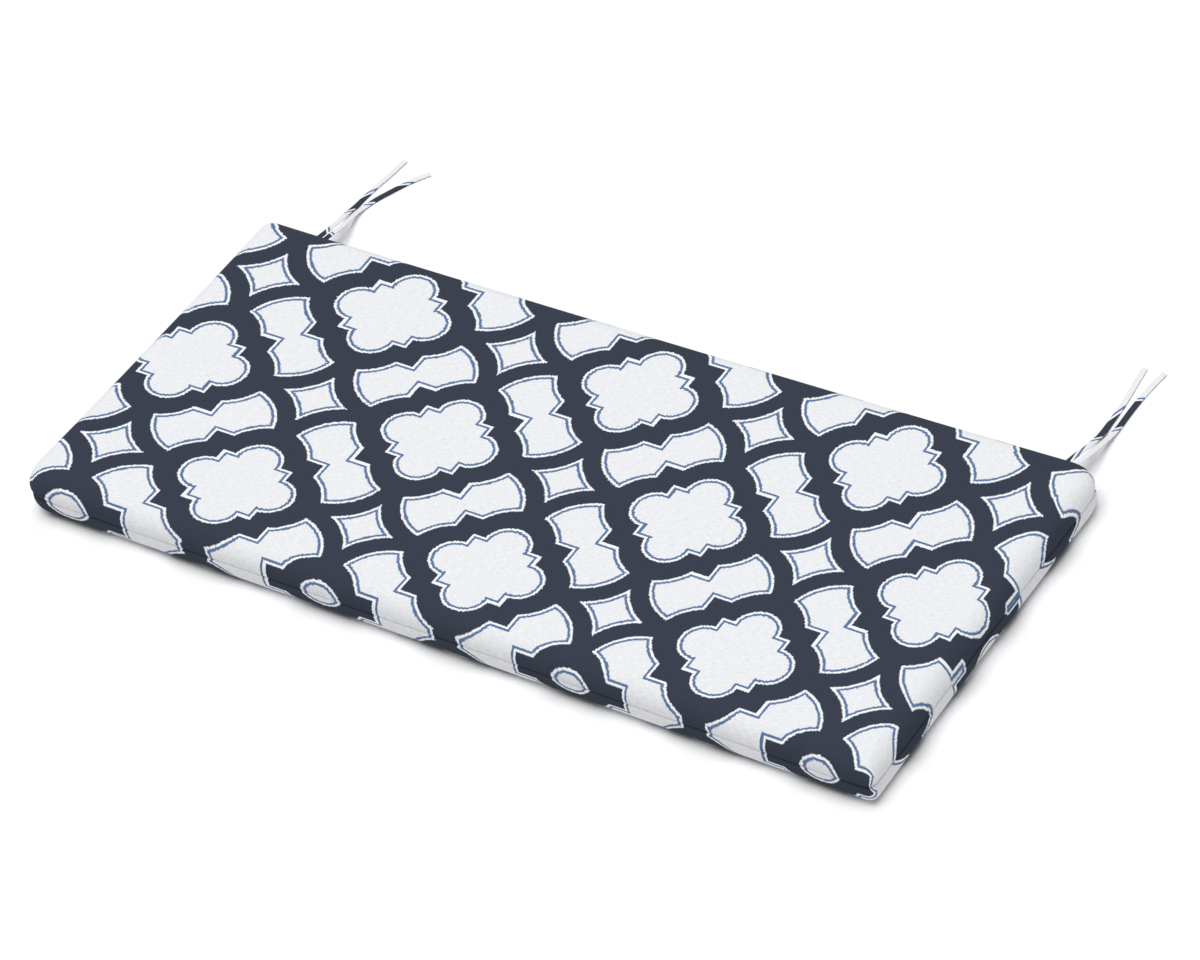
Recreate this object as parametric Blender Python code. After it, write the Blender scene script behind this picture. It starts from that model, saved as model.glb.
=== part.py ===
"""A filled bench cushion with two pairs of flat ties in its back seam.

Metres, +Z up. The origin is on the floor under the middle of the cushion. Its long sides run
along X, its back is at +Y, and the ties lie on the floor behind it.
"""

import math

import bmesh
import bpy
from mathutils import Vector

# The pad: two canvas panels sewn together at mid height, filled with a foam slab.
LENGTH = 1.067  # along X, over the bulges at the corners
WIDTH = 0.457  # along Y
THICKNESS = 0.058  # over the crown
EDGE_HEIGHT = 0.052  # where the rounded side runs into the top panel
SEAM_HEIGHT = 0.026
SEAM_DEPTH = 0.0015  # how far the seam lies in behind the two bulges
UPPER_ROUND = 0.0185  # how far in the rounded side reaches above the seam
LOWER_ROUND = 0.0125  # the same below the seam, where the foam stands on its edge
CORNER_SPREAD = 0.5  # how much a corner's radius grows for each metre of inset on the top
PULL_LONG = 0.002  # how far the middle of a long side is drawn in
PULL_SHORT = 0.0015  # the same for a short side

# How finely the pad is divided.
CORNER_STEPS = 6
LONG_STEPS = 24
SHORT_STEPS = 10
SIDE_STEPS = 6
TOP_RINGS = 5
INNER_SHARE = 0.88  # how far towards the middle line the last ring of the top panel lies

# The corners in plan, which the filling rounds unevenly, a row for each, anticlockwise:
# (side in x, side in y, radius, divisions of the straight side that follows it).
CORNERS = (
    (1, 1, 0.030, LONG_STEPS),
    (-1, 1, 0.0135, SHORT_STEPS),
    (-1, -1, 0.029, LONG_STEPS),
    (1, -1, 0.0105, SHORT_STEPS),
)

# The ties: flat tapes, in pairs, sewn into the back seam.
TIE_WIDTH = 0.0065
TIE_THICKNESS = 0.0018
TIE_START = 0.001  # from the seam line to the tape's sewn end, clear of both bulges
TIE_GAP = 0.0003  # between a tape and the floor
TIE_DROP = 0.105  # how far behind the seam a tape has come down to the floor
TIE_STEPS = 3  # points for each stretch between two rows of a route

# One table for each tie, a row for each place it passes: (x, distance behind the seam line).
TIE_ROUTES = {
    "tie_left_outer": (
        (-0.4740, 0.000),
        (-0.4740, 0.022),
        (-0.4776, 0.046),
        (-0.4848, 0.073),
        (-0.4868, 0.100),
        (-0.4855, 0.126),
        (-0.4821, 0.152),
        (-0.4798, 0.180),
    ),
    "tie_left_inner": (
        (-0.4652, 0.000),
        (-0.4652, 0.022),
        (-0.4672, 0.043),
        (-0.4730, 0.064),
        (-0.4769, 0.084),
        (-0.4738, 0.105),
        (-0.4645, 0.127),
        (-0.4527, 0.150),
        (-0.4385, 0.171),
    ),
    "tie_right_inner": (
        (0.4810, 0.000),
        (0.4830, 0.022),
        (0.4838, 0.045),
        (0.4822, 0.070),
        (0.4794, 0.094),
        (0.4786, 0.116),
        (0.4770, 0.138),
        (0.4746, 0.161),
        (0.4722, 0.185),
    ),
    "tie_right_outer": (
        (0.4899, 0.000),
        (0.4925, 0.020),
        (0.4934, 0.041),
        (0.4919, 0.063),
        (0.4910, 0.086),
        (0.4902, 0.110),
        (0.4902, 0.134),
        (0.4918, 0.160),
        (0.4949, 0.186),
    ),
}

FIELD_COLOUR = (0.84, 0.85, 0.88, 1.0)  # the off-white ground of the printed canvas


def make_canvas(name):
    """A matt woven canvas."""
    canvas = bpy.data.materials.new(name)
    canvas.use_nodes = True
    shader = canvas.node_tree.nodes["Principled BSDF"]
    shader.inputs["Base Color"].default_value = FIELD_COLOUR
    shader.inputs["Roughness"].default_value = 0.85
    shader.inputs["Metallic"].default_value = 0.0
    return canvas


def add_object(name, data):
    """Put a mesh or a curve in the scene as one named piece with a material of its own."""
    piece = bpy.data.objects.new(name, data)
    bpy.context.collection.objects.link(piece)
    data.materials.append(make_canvas(name + "_canvas"))
    return piece


def draw_in(x, y):
    """Pull the sides in between the corners."""
    along = x / (LENGTH / 2)
    across = y / (WIDTH / 2)
    pulled_x = x - along * PULL_SHORT * (1 - across**2)
    pulled_y = y - across * PULL_LONG * (1 - along**2)
    return pulled_x, pulled_y


def crown_height(x, y):
    """How far the top panel rises above its rim: flat along the middle, falling to every side."""
    along = x / (LENGTH / 2 - UPPER_ROUND)
    across = y / (WIDTH / 2 - UPPER_ROUND)
    return (THICKNESS - EDGE_HEIGHT) * max(0, 1 - along**4) * max(0, 1 - across**2)


def side_profile(rim_height, reach):
    """(inset, height) from the seam round one panel's bulging side to that panel's rim."""
    start = math.acos(1 - SEAM_DEPTH / reach)
    rise = (rim_height - SEAM_HEIGHT) / (1 + math.sin(start))
    profile = []
    for step in range(1, SIDE_STEPS + 1):
        turn = -start + (start + math.pi / 2) * step / SIDE_STEPS
        inset = reach * (1 - math.cos(turn))
        height = SEAM_HEIGHT + rise * (math.sin(start) + math.sin(turn))
        profile.append((inset, height))
    return profile


def ring_outline(inset):
    """Points round the pad in plan, from the right side's end of the back right corner."""
    half_x = LENGTH / 2 - inset
    half_y = WIDTH / 2 - inset
    spread = CORNER_SPREAD * max(0, inset - UPPER_ROUND)
    arcs = []
    for index, (side_x, side_y, corner_radius, _) in enumerate(CORNERS):
        radius = min(corner_radius + spread, INNER_SHARE * half_y)
        centre = Vector((side_x * (half_x - radius), side_y * (half_y - radius)))
        arc = []
        for step in range(CORNER_STEPS + 1):
            turn = (index + step / CORNER_STEPS) * math.pi / 2
            arc.append(centre + radius * Vector((math.cos(turn), math.sin(turn))))
        arcs.append(arc)
    outline = []
    for index, (_, _, _, run_steps) in enumerate(CORNERS):
        outline.extend(arcs[index])
        leave = arcs[index][-1]
        arrive = arcs[(index + 1) % len(arcs)][0]
        for step in range(1, run_steps):
            outline.append(leave.lerp(arrive, step / run_steps))
    return outline


def add_ring(mesh, inset, height, crowned=False):
    """One closed loop of edges round the pad."""
    points = []
    for outline_x, outline_y in ring_outline(inset):
        x, y = draw_in(outline_x, outline_y)
        rise = crown_height(x, y) if crowned else 0
        points.append(mesh.verts.new((x, y, height + rise)))
    edges = []
    for index, point in enumerate(points):
        edges.append(mesh.edges.new((point, points[(index + 1) % len(points)])))
    return points, edges


def close_top(mesh, ring):
    """Fill the last ring of the top panel: a ladder of faces from front to back, and two ends."""
    half = 2 * (CORNER_STEPS + 1) + LONG_STEPS - 1
    back = ring[:half]
    left_end = ring[half : half + SHORT_STEPS - 1]
    front = ring[half + SHORT_STEPS - 1 : 2 * half + SHORT_STEPS - 1][::-1]
    right_end = ring[2 * half + SHORT_STEPS - 1 :]
    for index in range(half - 1):
        mesh.faces.new((back[index], back[index + 1], front[index + 1], front[index]))
    mesh.faces.new([back[-1], *left_end, front[-1]])
    mesh.faces.new([front[0], *right_end, back[0]])


def make_pad():
    """The filled pad, from the flat it rests on, round the seam and over the crown."""
    mesh = bmesh.new()
    rings = []
    for inset, height in reversed(side_profile(0.0, LOWER_ROUND)):
        rings.append(add_ring(mesh, inset, height))
    rings.append(add_ring(mesh, SEAM_DEPTH, SEAM_HEIGHT))
    for inset, height in side_profile(EDGE_HEIGHT, UPPER_ROUND):
        rings.append(add_ring(mesh, inset, height))
    for step in range(1, TOP_RINGS + 1):
        inset = UPPER_ROUND + (WIDTH / 2 - UPPER_ROUND) * INNER_SHARE * step / TOP_RINGS
        rings.append(add_ring(mesh, inset, EDGE_HEIGHT, crowned=True))
    for (_, lower), (_, upper) in zip(rings, rings[1:]):
        bmesh.ops.bridge_loops(mesh, edges=lower + upper)
    close_top(mesh, rings[-1][0])
    mesh.faces.new(rings[0][0])
    bmesh.ops.recalc_face_normals(mesh, faces=mesh.faces)
    data = bpy.data.meshes.new("cushion")
    mesh.to_mesh(data)
    mesh.free()
    data.shade_smooth()
    data.set_sharp_from_angle(angle=math.radians(50))
    return add_object("cushion", data)


def seam_line_y(x):
    """The back seam's place in Y, where a tie is sewn in."""
    outline_y = WIDTH / 2 - SEAM_DEPTH
    return draw_in(x, outline_y)[1]


def tie_height(behind):
    """A tape's middle above the floor: level at the seam, then down, then level on the floor."""
    resting = TIE_GAP + TIE_THICKNESS / 2
    share = min(1, behind / TIE_DROP)
    eased = share * share * (3 - 2 * share)
    return SEAM_HEIGHT + (resting - SEAM_HEIGHT) * eased


def smooth_route(rows):
    """Points of one smooth curve through a route's rows, with its heights."""
    knots = [Vector(row) for row in rows]
    knots = [2 * knots[0] - knots[1], *knots, 2 * knots[-1] - knots[-2]]
    flat = []
    for before, start, end, after in zip(knots, knots[1:], knots[2:], knots[3:]):
        for step in range(TIE_STEPS):
            t = step / TIE_STEPS
            flat.append(
                start
                + (end - before) * (t / 2)
                + (2 * before - 5 * start + 4 * end - after) * (t**2 / 2)
                + (3 * start - before - 3 * end + after) * (t**3 / 2)
            )
    flat.append(knots[-2])
    seam_y = seam_line_y(rows[0][0]) + TIE_START
    return [Vector((x, seam_y + behind, tie_height(behind))) for x, behind in flat]


def make_tape_section():
    """The flat cross-section of a tie, with rounded edges. It is only a guide for the curves."""
    half_width = TIE_WIDTH / 2
    half_thick = TIE_THICKNESS / 2
    flat_half = half_width - half_thick
    corners = (
        (half_width, 0.0),
        (flat_half, -half_thick),
        (-flat_half, -half_thick),
        (-half_width, 0.0),
        (-flat_half, half_thick),
        (flat_half, half_thick),
    )
    curve = bpy.data.curves.new("tape_section", "CURVE")
    curve.dimensions = "2D"
    spline = curve.splines.new("POLY")
    spline.points.add(len(corners) - 1)
    for point, (x, y) in zip(spline.points, corners):
        point.co = (x, y, 0, 1)
    spline.use_cyclic_u = True
    section = bpy.data.objects.new("tape_section", curve)
    section.hide_render = True
    section.display_type = "WIRE"
    bpy.context.collection.objects.link(section)
    return section


def make_tie(name, rows, section):
    """One tape from the back seam down to the floor, with its free end."""
    route = smooth_route(rows)
    curve = bpy.data.curves.new(name, "CURVE")
    curve.dimensions = "3D"
    curve.twist_mode = "Z_UP"
    curve.bevel_mode = "OBJECT"
    curve.bevel_object = section
    curve.use_fill_caps = True
    spline = curve.splines.new("POLY")
    spline.points.add(len(route) - 1)
    for point, place in zip(spline.points, route):
        point.co = (*place, 1)
    return add_object(name, curve)


for leftover in list(bpy.data.objects):
    bpy.data.objects.remove(leftover)

make_pad()
tape_section = make_tape_section()
for tie_name, tie_rows in TIE_ROUTES.items():
    make_tie(tie_name, tie_rows, tape_section)
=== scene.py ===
import math

import bmesh
import bpy
from mathutils import Euler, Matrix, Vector


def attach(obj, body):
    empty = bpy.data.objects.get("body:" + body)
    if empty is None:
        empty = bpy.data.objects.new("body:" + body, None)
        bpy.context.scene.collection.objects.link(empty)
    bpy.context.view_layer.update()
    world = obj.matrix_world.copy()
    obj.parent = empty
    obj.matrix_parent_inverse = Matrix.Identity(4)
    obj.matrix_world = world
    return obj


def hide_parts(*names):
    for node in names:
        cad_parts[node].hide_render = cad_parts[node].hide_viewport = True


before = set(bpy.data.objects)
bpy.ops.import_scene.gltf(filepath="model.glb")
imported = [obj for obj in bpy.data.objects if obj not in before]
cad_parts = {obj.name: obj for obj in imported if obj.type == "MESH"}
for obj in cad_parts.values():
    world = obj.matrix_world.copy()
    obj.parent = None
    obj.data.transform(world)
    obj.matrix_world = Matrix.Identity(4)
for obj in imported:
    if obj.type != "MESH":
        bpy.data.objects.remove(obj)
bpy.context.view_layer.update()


# ---------------------------------------------------------------- the camera
# A long lens, high over the front right corner and rolled a little, so that the long
# sides run down to the right.

LENS_MM = 139.3
CAMERA_PLACE = (2.4892, -2.5493, 3.2147)
CAMERA_TURN_DEG = (47.176, 10.733, 33.640)

camera_data = bpy.data.cameras.new("camera")
camera_data.lens = LENS_MM
camera_data.sensor_width = 36.0
camera_data.clip_end = 50.0
camera = bpy.data.objects.new("camera", camera_data)
camera.location = CAMERA_PLACE
camera.rotation_euler = Euler([math.radians(turn) for turn in CAMERA_TURN_DEG])
bpy.context.collection.objects.link(camera)
bpy.context.scene.camera = camera


# ---------------------------------------------------------------- the ties
# Four strips of the cushion's own canvas, each folded lengthwise into a flat tape and
# top-stitched. They are caught in the back seam in pairs, leave it level, sag to the
# floor and lie there with their cut ends free.

SEAM_HEIGHT = 0.026
SEAM_LINE_Y = 0.2266  # the back seam, where the ties are sewn in
TIE_WIDTH = 0.0065
TIE_THICKNESS = 0.0018
TIE_START = 0.001
TIE_TUCK = 0.0015  # how far a tape reaches into the seam's crease
TIE_GAP = 0.0003
TIE_DROP = 0.105  # how far behind the seam a tape has come down to the floor
TIE_STEPS = 9  # points for each stretch between two rows of a route
TAPE_ROUND = 0.6  # how square the tape's section is: 1 is an ellipse, 0 a rectangle
TAPE_SIDES = 28
STITCH_PLACE = 0.0019  # from the tape's middle to its line of stitches
STITCH_GROOVE = 0.00022
STITCH_GROOVE_WIDTH = 0.0007

# A row for each place that a tape passes: (x, distance behind the seam line).
TIE_ROUTES = {
    "tie_left_outer": (
        (-0.4740, 0.000),
        (-0.4740, 0.022),
        (-0.4776, 0.046),
        (-0.4848, 0.073),
        (-0.4868, 0.100),
        (-0.4855, 0.126),
        (-0.4821, 0.152),
        (-0.4798, 0.180),
    ),
    "tie_left_inner": (
        (-0.4652, 0.000),
        (-0.4652, 0.022),
        (-0.4672, 0.043),
        (-0.4730, 0.064),
        (-0.4769, 0.084),
        (-0.4738, 0.105),
        (-0.4645, 0.127),
        (-0.4527, 0.150),
        (-0.4385, 0.171),
    ),
    "tie_right_inner": (
        (0.4810, 0.000),
        (0.4830, 0.022),
        (0.4838, 0.045),
        (0.4822, 0.070),
        (0.4794, 0.094),
        (0.4786, 0.116),
        (0.4770, 0.138),
        (0.4746, 0.161),
        (0.4722, 0.185),
    ),
    "tie_right_outer": (
        (0.4899, 0.000),
        (0.4925, 0.020),
        (0.4934, 0.041),
        (0.4919, 0.063),
        (0.4910, 0.086),
        (0.4902, 0.110),
        (0.4902, 0.134),
        (0.4918, 0.160),
        (0.4949, 0.186),
    ),
}


def tape_height(behind):
    """A tape's middle above the floor."""
    resting = TIE_GAP + TIE_THICKNESS / 2
    share = min(1, max(0, behind / TIE_DROP))
    eased = share * share * (3 - 2 * share)
    return SEAM_HEIGHT + (resting - SEAM_HEIGHT) * eased


def tape_route(rows):
    """Points of one smooth curve through a route's rows, from inside the seam to the free end."""
    knots = [Vector(row) for row in rows]
    knots = [2 * knots[0] - knots[1], *knots, 2 * knots[-1] - knots[-2]]
    flat = [knots[1] - Vector((0, TIE_TUCK + TIE_START))]
    for before, start, end, after in zip(knots, knots[1:], knots[2:], knots[3:]):
        for step in range(TIE_STEPS):
            t = step / TIE_STEPS
            flat.append(
                start
                + (end - before) * (t / 2)
                + (2 * before - 5 * start + 4 * end - after) * (t**2 / 2)
                + (3 * start - before - 3 * end + after) * (t**3 / 2)
            )
    flat.append(knots[-2])
    seam_y = SEAM_LINE_Y + TIE_START
    return [Vector((x, seam_y + behind, tape_height(behind))) for x, behind in flat]


def tape_section():
    """(across, up) round a flat, soft-edged tape with a line of stitches sunk into each face."""
    points = []
    for side in range(TAPE_SIDES):
        turn = math.tau * side / TAPE_SIDES
        across = math.copysign(abs(math.cos(turn)) ** TAPE_ROUND, math.cos(turn)) * TIE_WIDTH / 2
        up = math.copysign(abs(math.sin(turn)) ** TAPE_ROUND, math.sin(turn)) * TIE_THICKNESS / 2
        dip = STITCH_GROOVE * math.exp(-(((across - STITCH_PLACE) / STITCH_GROOVE_WIDTH) ** 2))
        points.append((across, up - math.copysign(dip, up)))
    return points


def make_tape(name, rows):
    """One tape as a closed tube of its flat section, with (across, along) as its UV map."""
    path = tape_route(rows)
    section = tape_section()
    mesh = bmesh.new()
    across_layer = mesh.verts.layers.float.new("across")
    along_layer = mesh.verts.layers.float.new("along")
    ring = []
    for across, up in section:
        ring.append(mesh.verts.new((across, 0, up)))
        ring[-1][across_layer] = across
    edges = []
    for index, point in enumerate(ring):
        edges.append(mesh.edges.new((point, ring[(index + 1) % len(ring)])))
    first_cap = mesh.faces.new(ring)
    along = 0.0
    for index, place in enumerate(path):
        before = path[max(0, index - 1)]
        after = path[min(len(path) - 1, index + 1)]
        heading = (after - before).normalized()
        sideways = heading.cross(Vector((0, 0, 1))).normalized()
        upwards = sideways.cross(heading)
        if index:
            along += (place - path[index - 1]).length
            made = bmesh.ops.extrude_edge_only(mesh, edges=edges)["geom"]
            edges = [piece for piece in made if isinstance(piece, bmesh.types.BMEdge)]
            edges = [edge for edge in edges if len(edge.link_faces) == 1]
            points = {corner for edge in edges for corner in edge.verts}
        else:
            points = set(ring)
        for point in points:
            across = point[across_layer]
            if index:
                local = point.co - path[index - 1]
                up = local.dot(last_upwards)
            else:
                up = point.co.z
            point.co = place + across * sideways + up * upwards
            point[along_layer] = along
        last_upwards = upwards
    bmesh.ops.holes_fill(mesh, edges=edges, sides=0)
    uv_layer = mesh.loops.layers.uv.new("tape")
    for face in mesh.faces:
        for loop in face.loops:
            loop[uv_layer].uv = (loop.vert[across_layer], loop.vert[along_layer])
    bmesh.ops.recalc_face_normals(mesh, faces=mesh.faces)
    data = bpy.data.meshes.new(name)
    mesh.to_mesh(data)
    mesh.free()
    data.shade_smooth()
    data.set_sharp_from_angle(angle=math.radians(60))
    tape = bpy.data.objects.new(name, data)
    bpy.context.collection.objects.link(tape)
    return tape, path


def linear(hex_colour):
    """A colour for a shader from its sRGB hex value."""
    channels = []
    for start in (1, 3, 5):
        value = int(hex_colour[start : start + 2], 16) / 255
        channels.append(value / 12.92 if value <= 0.04045 else ((value + 0.055) / 1.055) ** 2.4)
    return (*channels, 1.0)


def add_node(tree, kind, settings, inputs):
    """Add a node with its settings, and feed its sockets from values or from other nodes."""
    node = tree.nodes.new(kind)
    for name, value in settings.items():
        setattr(node, name, value)
    for socket, value in inputs.items():
        if isinstance(value, bpy.types.NodeSocket):
            tree.links.new(value, node.inputs[socket])
        else:
            node.inputs[socket].default_value = value
    return node


# Solution-dyed canvas, plain woven and printed: matt, with a dry look and a faint sheen
# where light grazes it. The print's edges step from thread to thread.
NAVY = "#3A404D"
OUTLINE_WHITE = "#F5F8FB"
OUTLINE_BLUE = "#5F789F"
FIELD_WHITE = "#ECEDF0"
WHITE_LINE = 0.0030  # widths of the print's outlines
BLUE_LINE = 0.0031
RAMP_REACH = 0.025  # how far each side of an edge the colour ramp reaches
THREAD_PITCH = 0.0012  # the real canvas has 0.5 mm threads, too fine to show
SLUB_LENGTH = 0.007
CROSS_THREADS = 0.4  # how much the threads across show, beside those along
CANVAS_ROUGHNESS = 0.85
CANVAS_SPECULAR = 0.04
CANVAS_SHEEN = 0.01


def weave_canvas(name, uv_name, make_depth):
    """Printed canvas. make_depth adds the nodes that say how far inside a light shape a point is."""
    canvas = bpy.data.materials.new(name)
    canvas.use_nodes = True
    tree = canvas.node_tree
    shader = tree.nodes["Principled BSDF"]
    place = add_node(tree, "ShaderNodeUVMap", {"uv_map": uv_name}, {}).outputs[0]
    depth = make_depth(tree, place)
    share = add_node(
        tree, "ShaderNodeMath", {"operation": "MULTIPLY_ADD"}, {0: depth, 1: 0.5 / RAMP_REACH, 2: 0.5}
    )
    ramp = add_node(tree, "ShaderNodeValToRGB", {}, {0: share.outputs[0]})
    ramp.color_ramp.interpolation = "CONSTANT"
    stops = (
        (0.0, NAVY),
        (0.501, OUTLINE_WHITE),
        (0.5 + 0.5 * WHITE_LINE / RAMP_REACH, OUTLINE_BLUE),
        (0.5 + 0.5 * (WHITE_LINE + BLUE_LINE) / RAMP_REACH, FIELD_WHITE),
    )
    while len(ramp.color_ramp.elements) < len(stops):
        ramp.color_ramp.elements.new(1.0)
    for element, (position, colour) in zip(ramp.color_ramp.elements, stops):
        element.position = position
        element.color = linear(colour)
    colour = ramp.outputs[0]
    thread_heights = []
    for direction in ((1, 0), (0, 1)):
        stretch = [1 / SLUB_LENGTH if side else 1 / THREAD_PITCH for side in direction]
        threads = add_node(
            tree, "ShaderNodeMapping", {}, {"Vector": place, "Scale": (*stretch, 1)}
        )
        slubs = add_node(
            tree,
            "ShaderNodeTexNoise",
            {"noise_dimensions": "2D"},
            {"Vector": threads.outputs[0], "Scale": 1.0, "Detail": 2.0, "Roughness": 0.6},
        )
        thread_heights.append(slubs.outputs[0])
    weave = add_node(
        tree,
        "ShaderNodeMath",
        {"operation": "MULTIPLY_ADD"},
        {0: thread_heights[1], 1: CROSS_THREADS, 2: thread_heights[0]},
    )
    shade = add_node(
        tree,
        "ShaderNodeMapRange",
        {},
        {"Value": weave.outputs[0], "From Min": 0.3, "From Max": 1.1, "To Min": 0.86, "To Max": 1.12},
    )
    tinted = add_node(
        tree,
        "ShaderNodeVectorMath",
        {"operation": "SCALE"},
        {0: colour, "Scale": shade.outputs[0]},
    )
    bump = add_node(
        tree,
        "ShaderNodeBump",
        {},
        {"Strength": 0.35, "Distance": 0.0003, "Height": weave.outputs[0]},
    )
    tree.links.new(tinted.outputs[0], shader.inputs["Base Color"])
    tree.links.new(bump.outputs[0], shader.inputs["Normal"])
    shader.inputs["Roughness"].default_value = CANVAS_ROUGHNESS
    shader.inputs["Sheen Weight"].default_value = CANVAS_SHEEN
    shader.inputs["Sheen Roughness"].default_value = 0.4
    shader.inputs["Specular IOR Level"].default_value = CANVAS_SPECULAR
    return canvas


# Where a strip was cut across the print, a row for each tape: where the navy at the root ends,
# and where the next navy stretch starts and ends, in metres along the tape from the seam, each
# with its slant, in metres along for each metre across.
TAPE_BORDERS = {
    "tie_left_outer": ((0.028, -1.4), (0.0895, 1.5), (0.1177, 2.2)),
    "tie_left_inner": ((0.024, -0.5), (0.1120, 1.2), (0.1524, 1.8)),
    "tie_right_inner": ((0.023, -4.2), (0.0740, 1.6), (0.1130, 2.7)),
    "tie_right_outer": ((-0.05, 0.0), (0.1015, 1.2), (0.1447, 0.6)),
}
TAPE_LINES = 0.75  # how wide the print's outlines are on a tape, as a share of the panels'


def tape_depth(borders):
    """The steps that find how far a point of a tape is from the nearest navy stretch."""

    def make_depth(tree, place):
        apart = add_node(tree, "ShaderNodeSeparateXYZ", {}, {0: place})
        known = {"across": apart.outputs[0], "along": apart.outputs[1]}
        steps = []
        for label, (edge, slant) in zip(("root", "start", "end"), borders):
            steeper = math.hypot(1, slant) * TAPE_LINES
            steps.append((label + "_slant", "MULTIPLY_ADD", "across", -slant, -edge))
            steps.append((label + "_along", "ADD", "along", label + "_slant"))
            steps.append((label, "DIVIDE", label + "_along", steeper))
        steps.append(("before_start", "MULTIPLY", "start", -1.0))
        steps.append(("middle", "MAXIMUM", "before_start", "end"))
        steps.append(("depth", "MINIMUM", "root", "middle"))
        for result, operation, *values in steps:
            inputs = {index: known.get(value, value) for index, value in enumerate(values)}
            known[result] = add_node(
                tree, "ShaderNodeMath", {"operation": operation}, inputs
            ).outputs[0]
        return known["depth"]

    return make_depth


for node_name, route_rows in TIE_ROUTES.items():
    tape, tape_path = make_tape(node_name + "_tape", route_rows)
    canvas_tape = weave_canvas(
        "printed_canvas_" + node_name, "tape", tape_depth(TAPE_BORDERS[node_name])
    )
    tape.data.materials.append(canvas_tape)
    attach(tape, "root")
    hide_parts(node_name)


# ---------------------------------------------------------------- the cushion
# Two rectangles of printed canvas, sewn face to face round their edges, turned, and filled
# with a foam slab. The cloth is stretched over the slab, so the top is nearly flat, the edges
# roll over to the seam at mid height, and the seam draws in between two soft bulges.

LENGTH = 1.067
WIDTH = 0.457
EDGE_HEIGHT = 0.052  # where the rounded side runs into the top panel
CROWN = 0.006
SEAM_DEPTH = 0.0006
UPPER_ROUND = 0.0185
LOWER_ROUND = 0.0125
PULL_LONG = 0.002
PULL_SHORT = 0.0015
CORNER_RADII = {(1, 1): 0.030, (-1, 1): 0.0135, (-1, -1): 0.029, (1, -1): 0.0105}
UNDERSIDE_RADII = {(1, 1): 0.030, (-1, 1): 0.0135, (-1, -1): 0.029, (1, -1): 0.005}
GRID_LONG = 84  # divisions of a panel, before it is subdivided
GRID_SHORT = 38
GRID_CROWDING = 0.65  # 0 spaces the divisions evenly, 1 draws them up to the edges
SIDE_RINGS = 12
RING_CROWDING = 1.6  # 1 spaces the rings evenly, more crowds them towards the seam


def grade(share):
    """Crowd a panel's divisions towards its edges. share runs from -1 to 1."""
    return share + GRID_CROWDING * math.sin(math.pi * share) / math.pi


def plan_place(share_x, share_y, inset, below_seam):
    """Where a panel's division lies in plan, and which way is outwards there, for one inset."""
    half = Vector((LENGTH / 2 - inset, WIDTH / 2 - inset))
    x = half.x * grade(share_x)
    y = half.y * grade(share_y)
    side_x = 1 if x >= 0 else -1
    side_y = 1 if y >= 0 else -1
    radius = CORNER_RADII[side_x, side_y]
    if below_seam > 0:
        radius += (UNDERSIDE_RADII[side_x, side_y] - radius) * inset / LOWER_ROUND
    into_x = 1 - (half.x - abs(x)) / radius
    into_y = 1 - (half.y - abs(y)) / radius
    if into_x > 0 and into_y > 0:
        reach = max(into_x, into_y)
        turn = math.pi / 4 * min(into_x, into_y) / reach
        if into_y > into_x:
            turn = math.pi / 2 - turn
        outwards = Vector((side_x * math.cos(turn), side_y * math.sin(turn)))
        centre = Vector((side_x * (half.x - radius), side_y * (half.y - radius)))
        return centre + outwards * (radius * reach), outwards
    if half.x - abs(x) < half.y - abs(y):
        return Vector((x, y)), Vector((side_x, 0))
    return Vector((x, y)), Vector((0, side_y))


def draw_in(place):
    """Pull the sides in between the corners."""
    along = place.x / (LENGTH / 2)
    across = place.y / (WIDTH / 2)
    return Vector(
        (
            place.x - along * PULL_SHORT * (1 - across**2),
            place.y - across * PULL_LONG * (1 - along**2),
        )
    )


def crown_height(place):
    """How far the top rises above its rim. Outside the rim it runs on down, without a kink."""
    along = place.x / (LENGTH / 2 - UPPER_ROUND)
    across = place.y / (WIDTH / 2 - UPPER_ROUND)
    return CROWN * (1 - along**4) * (1 - across**2)


def side_profile(rim_height, reach):
    """(inset, height, length of cloth from the seam) from the seam to a panel's rim."""
    start = math.acos(1 - SEAM_DEPTH / reach)
    rise = (rim_height - SEAM_HEIGHT) / (1 + math.sin(start))
    profile = [(SEAM_DEPTH, SEAM_HEIGHT, 0.0)]
    for ring in range(1, SIDE_RINGS + 1):
        turn = -start + (start + math.pi / 2) * (ring / SIDE_RINGS) ** RING_CROWDING
        inset = reach * (1 - math.cos(turn))
        height = SEAM_HEIGHT + rise * (math.sin(start) + math.sin(turn))
        last_inset, last_height, cloth = profile[-1]
        cloth += math.hypot(inset - last_inset, height - last_height)
        profile.append((inset, height, cloth))
    return profile


upper_profile = side_profile(EDGE_HEIGHT, UPPER_ROUND)
lower_profile = side_profile(0.0, LOWER_ROUND)
side_cloth = upper_profile[-1][2]  # from the top panel's rim to the seam

# The printed cloth gives as it is pulled over the slab, so the print is stretched a little
# unevenly. Rows of terms: a share of the repeat for each x, y, xx, xy, yy of the panel.
REPEAT = 0.3145
PRINT_SHIFT = (0.3871, 0.0337)
PRINT_STRETCH = (
    (3.1745, 0.0128),
    (-0.0139, 3.4870),
    (0.3735, -0.0359),
    (-0.0425, 0.0069),
    (0.3267, -0.6597),
)
PRINT_DOWN_SHORT = (1.45, -15.8, 0.0)  # how much print runs down a side, for a length of cloth,
PRINT_DOWN_LONG = (0.75, 14.5, -440.0)  # its square and its cube
PRINT_LEAN = 0.1  # how far the print leans along a short side, for each length down
PRINT_BELOW = 1.1  # how much print runs on below the seam, for each length of cloth


def print_down(cloth):
    """How much print lies beyond the rim with this much cloth, down a short and down a long side."""
    powers = (cloth, cloth**2, cloth**3)
    return Vector(
        sum(share * power for share, power in zip(shares, powers))
        for shares in (PRINT_DOWN_SHORT, PRINT_DOWN_LONG)
    )


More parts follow.
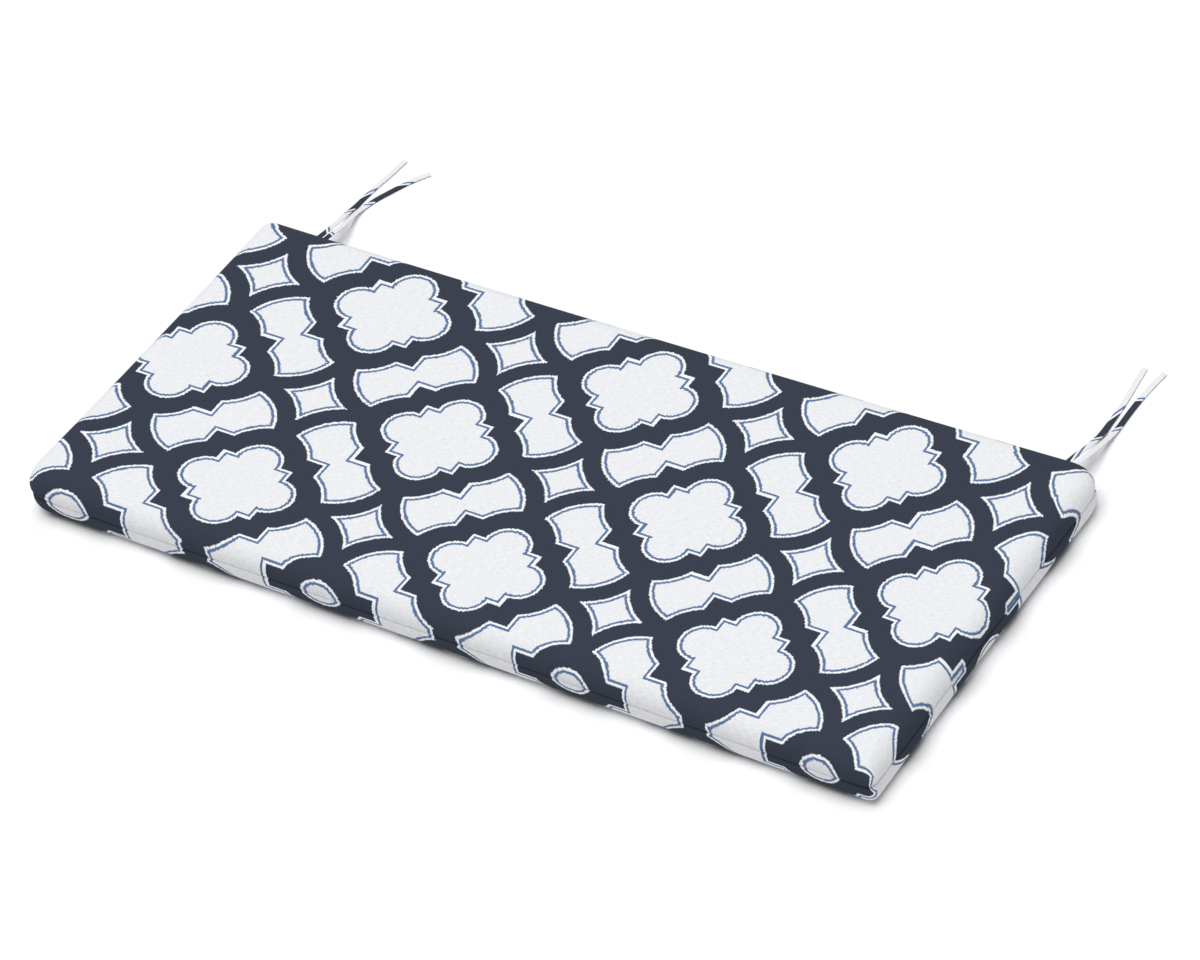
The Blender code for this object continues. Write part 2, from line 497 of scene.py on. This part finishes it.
def print_place(rim_place, outwards, down):
    """Where a point of a panel is on the printed cloth, in metres."""
    x, y = rim_place + outwards * (down.x * outwards.x**2 + down.y * outwards.y**2)
    y += PRINT_LEAN * down.x * outwards.x**2
    spot = Vector(PRINT_SHIFT)
    for term, share in zip((x, y, x * x, x * y, y * y), PRINT_STRETCH):
        spot += term * Vector(share)
    return REPEAT * spot


# Each ring round the pad, from the top panel's rim to the underside's: (inset, height,
# share of the crown's slope, print beyond the rim in its own panel, cloth below the seam).
rings = []
for ring_inset, ring_height, cloth in reversed(upper_profile):
    crown_share = (ring_height - SEAM_HEIGHT) / (EDGE_HEIGHT - SEAM_HEIGHT)
    rings.append((ring_inset, ring_height, crown_share, print_down(side_cloth - cloth), -cloth))
for ring_inset, ring_height, cloth in lower_profile[1:]:
    down = print_down(side_cloth) - Vector((cloth, cloth)) * PRINT_BELOW
    rings.append((ring_inset, ring_height, 0.0, down, cloth))

pad_mesh = bmesh.new()
ring_layer = pad_mesh.verts.layers.int.new("ring")
seam_layer = pad_mesh.verts.layers.float.new("below_seam")
panel_layer = pad_mesh.verts.layers.float_vector.new("panel_place")
bmesh.ops.create_grid(pad_mesh, x_segments=GRID_LONG, y_segments=GRID_SHORT, size=1.0)
edges = [edge for edge in pad_mesh.edges if edge.is_boundary]
for ring_index in range(1, len(rings)):
    made = bmesh.ops.extrude_edge_only(pad_mesh, edges=edges)["geom"]
    for piece in made:
        if isinstance(piece, bmesh.types.BMVert):
            piece[ring_layer] = ring_index
    edges = [edge for edge in made if isinstance(edge, bmesh.types.BMEdge) and edge.is_boundary]
underside = bmesh.ops.create_grid(
    pad_mesh, x_segments=GRID_LONG, y_segments=GRID_SHORT, size=1.0
)["verts"]
for point in underside:
    point[ring_layer] = len(rings)

for point in pad_mesh.verts:
    shares = point.co.xy
    ring_index = min(point[ring_layer], len(rings) - 1)
    inset, height, crown_share, down, below_seam = rings[ring_index]
    in_plan, outwards = plan_place(*shares, inset, below_seam)
    place = draw_in(in_plan)
    on_print = print_place(in_plan - outwards * (UPPER_ROUND - inset), outwards, down)
    if ring_index == len(rings) - 1:
        shrunk = Vector(
            (
                in_plan.x * (LENGTH / 2 - UPPER_ROUND + down.x) / (LENGTH / 2 - LOWER_ROUND),
                in_plan.y * (WIDTH / 2 - UPPER_ROUND + down.y) / (WIDTH / 2 - LOWER_ROUND),
            )
        )
        on_print = print_place(shrunk, outwards, Vector((0.0, 0.0)))
    point.co = (place.x, place.y, height + crown_share * crown_height(place))
    point[panel_layer] = (on_print.x, on_print.y, 0.0)
    point[seam_layer] = below_seam
bmesh.ops.remove_doubles(pad_mesh, verts=pad_mesh.verts, dist=0.00001)
bmesh.ops.recalc_face_normals(pad_mesh, faces=pad_mesh.faces)
panel_uv = pad_mesh.loops.layers.uv.new("panel")
for face in pad_mesh.faces:
    for loop in face.loops:
        loop[panel_uv].uv = loop.vert[panel_layer].xy
pad_data = bpy.data.meshes.new("canvas_pad")
pad_mesh.to_mesh(pad_data)
pad_mesh.free()
pad = bpy.data.objects.new("canvas_pad", pad_data)
bpy.context.collection.objects.link(pad)

# The filling presses the cloth out against its stitches. The seam is held, and so are the top
# and the underside where the slab carries them. No point moves further than MOST_SWELL.
SWELL_FRAMES = 20
FILLING_PRESSURE = 4.0
MOST_SWELL = 0.0006
HELD_BY_SLAB = 0.035  # this far in from its rim, the top lies firmly on the slab
held = pad.vertex_groups.new(name="held")
for number, entry in enumerate(pad_data.attributes["below_seam"].data):
    corner = pad_data.vertices[number].co
    to_edge = min(LENGTH / 2 - abs(corner.x), WIDTH / 2 - abs(corner.y)) - UPPER_ROUND
    if entry.value == 0 or entry.value > lower_profile[-2][2]:
        held.add([number], 1.0, "ADD")
    elif entry.value < -0.999 * side_cloth and to_edge > 0:
        held.add([number], min(1.0, to_edge / HELD_BY_SLAB), "ADD")
filling = pad.modifiers.new("filling", "CLOTH")
filling.settings.use_pressure = True
filling.settings.uniform_pressure_force = FILLING_PRESSURE
filling.settings.effector_weights.gravity = 0.0
filling.settings.vertex_group_mass = "held"
filling.point_cache.frame_start = 1
filling.point_cache.frame_end = SWELL_FRAMES
for frame_number in range(1, SWELL_FRAMES + 1):
    bpy.context.scene.frame_set(frame_number)
swollen = pad.evaluated_get(bpy.context.evaluated_depsgraph_get()).data
moves = [after.co - point.co for after, point in zip(swollen.vertices, pad_data.vertices)]
pad.modifiers.remove(filling)
bpy.context.scene.frame_set(1)
for point, move in zip(pad_data.vertices, moves):
    point.co += move * (MOST_SWELL / (MOST_SWELL + move.length))

rounding = pad.modifiers.new("rounding", "SUBSURF")
rounding.levels = 1
rounding.render_levels = 1
rounding.uv_smooth = "NONE"
pad_data = bpy.data.meshes.new_from_object(
    pad.evaluated_get(bpy.context.evaluated_depsgraph_get())
)
pad.modifiers.remove(rounding)
pad.data = pad_data

# The seam: a crease where the stitches pull, deeper at the corners, and below it the seam
# allowance, which is pressed down inside and shows through as a low band with a soft edge.
CREASE_DEPTH = 0.0010
CORNER_PINCH = 0.0022
CORNER_PINCH_WIDTH = 0.0045
CORNER_REACH = 0.045  # how far from a corner the deeper crease starts
CREASE_WIDTH = 0.0009
ALLOWANCE = 0.0040
ALLOWANCE_HEIGHT = 0.00035
ALLOWANCE_EDGE = 0.0002
outward = [point.normal.copy() for point in pad_data.vertices]
for number, entry in enumerate(pad_data.attributes["below_seam"].data):
    depth = entry.value
    if abs(depth) < 2 * CORNER_PINCH_WIDTH:
        corner = pad_data.vertices[number].co
        near_x = max(0, 1 - (LENGTH / 2 - abs(corner.x)) / CORNER_REACH)
        near_y = max(0, 1 - (WIDTH / 2 - abs(corner.y)) / CORNER_REACH)
        dip = CREASE_DEPTH * math.exp(-((depth / CREASE_WIDTH) ** 2))
        dip += CORNER_PINCH * near_x * near_y * math.exp(-((depth / CORNER_PINCH_WIDTH) ** 2))
        inner = 1 / (1 + math.exp((CREASE_WIDTH - depth) / ALLOWANCE_EDGE))
        outer = 1 / (1 + math.exp((depth - ALLOWANCE) / ALLOWANCE_EDGE))
        pad_data.vertices[number].co += outward[number] * (ALLOWANCE_HEIGHT * inner * outer - dip)
pad_data.shade_smooth()

# The print: a barbed quatrefoil trellis, one of the oldest repeats for tiles and cloth. It lies
# turned by 45 degrees. Its lattice has a quatrefoil at each crossing, a four-pointed star in
# each mesh, and a waisted lozenge over each bar, all on a navy ground. Sizes are shares of the
# lattice's spacing.
LATTICE = REPEAT * math.sqrt(0.5)
LOBE_PLACE = 0.132
LOBE_RADIUS = 0.127
BARB_TIP = 0.275
LOZENGE_SIDE = (0.117, 0.152, 0.0)
LOZENGE_SIDE_RADIUS = 0.256
LOZENGE_END = (0.5, 0.018, 0.0)
LOZENGE_END_RADIUS = 0.286
NOTCH_TIP = 0.426
STAR_SIDE = (0.5, 0.078, 0.0)
STAR_SIDE_RADIUS = 0.320
STAR_TIP = 0.742
DIAGONAL = math.sqrt(0.5)
THREAD_STEP = 0.0014  # the print's edges step from thread to thread


def add_steps(tree, known, steps):
    """Add a Math node for each row: its result's name, its operation, and what goes into it."""
    for result, operation, *values in steps:
        inputs = {index: known.get(value, value) for index, value in enumerate(values)}
        step = add_node(tree, "ShaderNodeMath", {"operation": operation}, inputs)
        known[result] = step.outputs[0]


def trellis_depth(tree, place):
    """The steps that find how far inside the nearest light shape a point of a panel is."""
    jitter = add_node(
        tree,
        "ShaderNodeTexNoise",
        {"noise_dimensions": "2D"},
        {"Vector": place, "Scale": 1 / THREAD_STEP, "Detail": 0.0},
    )
    shaken = add_node(
        tree,
        "ShaderNodeVectorMath",
        {"operation": "MULTIPLY_ADD"},
        {0: jitter.outputs[1], 1: (THREAD_STEP, THREAD_STEP, 0), 2: place},
    )
    stepped = add_node(
        tree,
        "ShaderNodeVectorMath",
        {"operation": "SNAP"},
        {0: shaken.outputs[0], 1: (THREAD_STEP, THREAD_STEP, 1)},
    )
    apart = add_node(tree, "ShaderNodeSeparateXYZ", {}, {0: stepped.outputs[0]})
    known = {"x": apart.outputs[0], "y": apart.outputs[1]}
    steps = (
        ("along", "DIVIDE", "x", REPEAT),
        ("across", "DIVIDE", "y", REPEAT),
        ("first", "ADD", "along", "across"),
        ("second", "SUBTRACT", "along", "across"),
        ("first_fold", "PINGPONG", "first", 0.5),
        ("second_fold", "PINGPONG", "second", 0.5),
        ("major", "MAXIMUM", "first_fold", "second_fold"),
        ("minor", "MINIMUM", "first_fold", "second_fold"),
        ("sum", "ADD", "major", "minor"),
    )
    add_steps(tree, known, steps)
    folded = add_node(
        tree, "ShaderNodeCombineXYZ", {}, {0: known["major"], 1: known["minor"]}
    ).outputs[0]
    for result, middle in (
        ("from_lobe", (LOBE_PLACE, LOBE_PLACE, 0.0)),
        ("from_side", LOZENGE_SIDE),
        ("from_end", LOZENGE_END),
        ("from_star_side", STAR_SIDE),
    ):
        known[result] = add_node(
            tree, "ShaderNodeVectorMath", {"operation": "DISTANCE"}, {0: folded, 1: middle}
        ).outputs["Value"]
    steps = (
        ("in_lobe", "SUBTRACT", LOBE_RADIUS, "from_lobe"),
        ("in_barb", "MULTIPLY_ADD", "sum", -DIAGONAL, BARB_TIP * DIAGONAL),
        ("quatrefoil", "MAXIMUM", "in_lobe", "in_barb"),
        ("in_side", "SUBTRACT", "from_side", LOZENGE_SIDE_RADIUS),
        ("in_end", "SUBTRACT", LOZENGE_END_RADIUS, "from_end"),
        ("in_notch", "MULTIPLY_ADD", "sum", DIAGONAL, -NOTCH_TIP * DIAGONAL),
        ("in_both", "MINIMUM", "in_side", "in_end"),
        ("lozenge", "MINIMUM", "in_both", "in_notch"),
        ("in_star_side", "SUBTRACT", "from_star_side", STAR_SIDE_RADIUS),
        ("in_star_tip", "MULTIPLY_ADD", "sum", DIAGONAL, -STAR_TIP * DIAGONAL),
        ("star", "MINIMUM", "in_star_side", "in_star_tip"),
        ("either", "MAXIMUM", "quatrefoil", "lozenge"),
        ("any", "MAXIMUM", "either", "star"),
        ("depth", "MULTIPLY", "any", LATTICE),
    )
    add_steps(tree, known, steps)
    return known["depth"]


pad_data.materials.append(weave_canvas("printed_canvas_panel", "panel", trellis_depth))
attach(pad, "root")
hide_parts("cushion")


# ---------------------------------------------------------------- the studio
# A seamless white floor under a big soft light, which is just strong enough to keep it white.

FLOOR_HALF = 40.0
FLOOR_DROP = 0.0004
floor_mesh = bmesh.new()
bmesh.ops.create_grid(floor_mesh, x_segments=1, y_segments=1, size=FLOOR_HALF)
bmesh.ops.translate(floor_mesh, verts=floor_mesh.verts, vec=(0, 0, -FLOOR_DROP))
floor_data = bpy.data.meshes.new("floor")
floor_mesh.to_mesh(floor_data)
floor_mesh.free()
floor = bpy.data.objects.new("floor", floor_data)
bpy.context.collection.objects.link(floor)
paint = bpy.data.materials.new("white_floor_paint")
paint.use_nodes = True
paint_shader = paint.node_tree.nodes["Principled BSDF"]
paint_shader.inputs["Base Color"].default_value = linear("#FCFCFC")
paint_shader.inputs["Roughness"].default_value = 0.9
paint_shader.inputs["Specular IOR Level"].default_value = 0.1
floor_data.materials.append(paint)

world = bpy.data.worlds.new("studio")
world.use_nodes = True
world.node_tree.nodes["Background"].inputs[0].default_value = (1, 1, 1, 1)
world.node_tree.nodes["Background"].inputs[1].default_value = 0.25
bpy.context.scene.world = world

# A soft box so large and so far up that its light is even over the whole cushion.
SOFT_BOX_FROM = (-0.02, -0.07, 1.0)
SOFT_BOX_ANGLE_DEG = 46.0
SOFT_BOX_STRENGTH = 2.50
soft_box_data = bpy.data.lights.new("soft_box", "SUN")
soft_box_data.angle = math.radians(SOFT_BOX_ANGLE_DEG)
soft_box_data.energy = SOFT_BOX_STRENGTH
soft_box = bpy.data.objects.new("soft_box", soft_box_data)
soft_box.rotation_euler = (-Vector(SOFT_BOX_FROM)).to_track_quat("-Z", "Y").to_euler()
bpy.context.collection.objects.link(soft_box)

bpy.context.scene.view_settings.view_transform = "Standard"
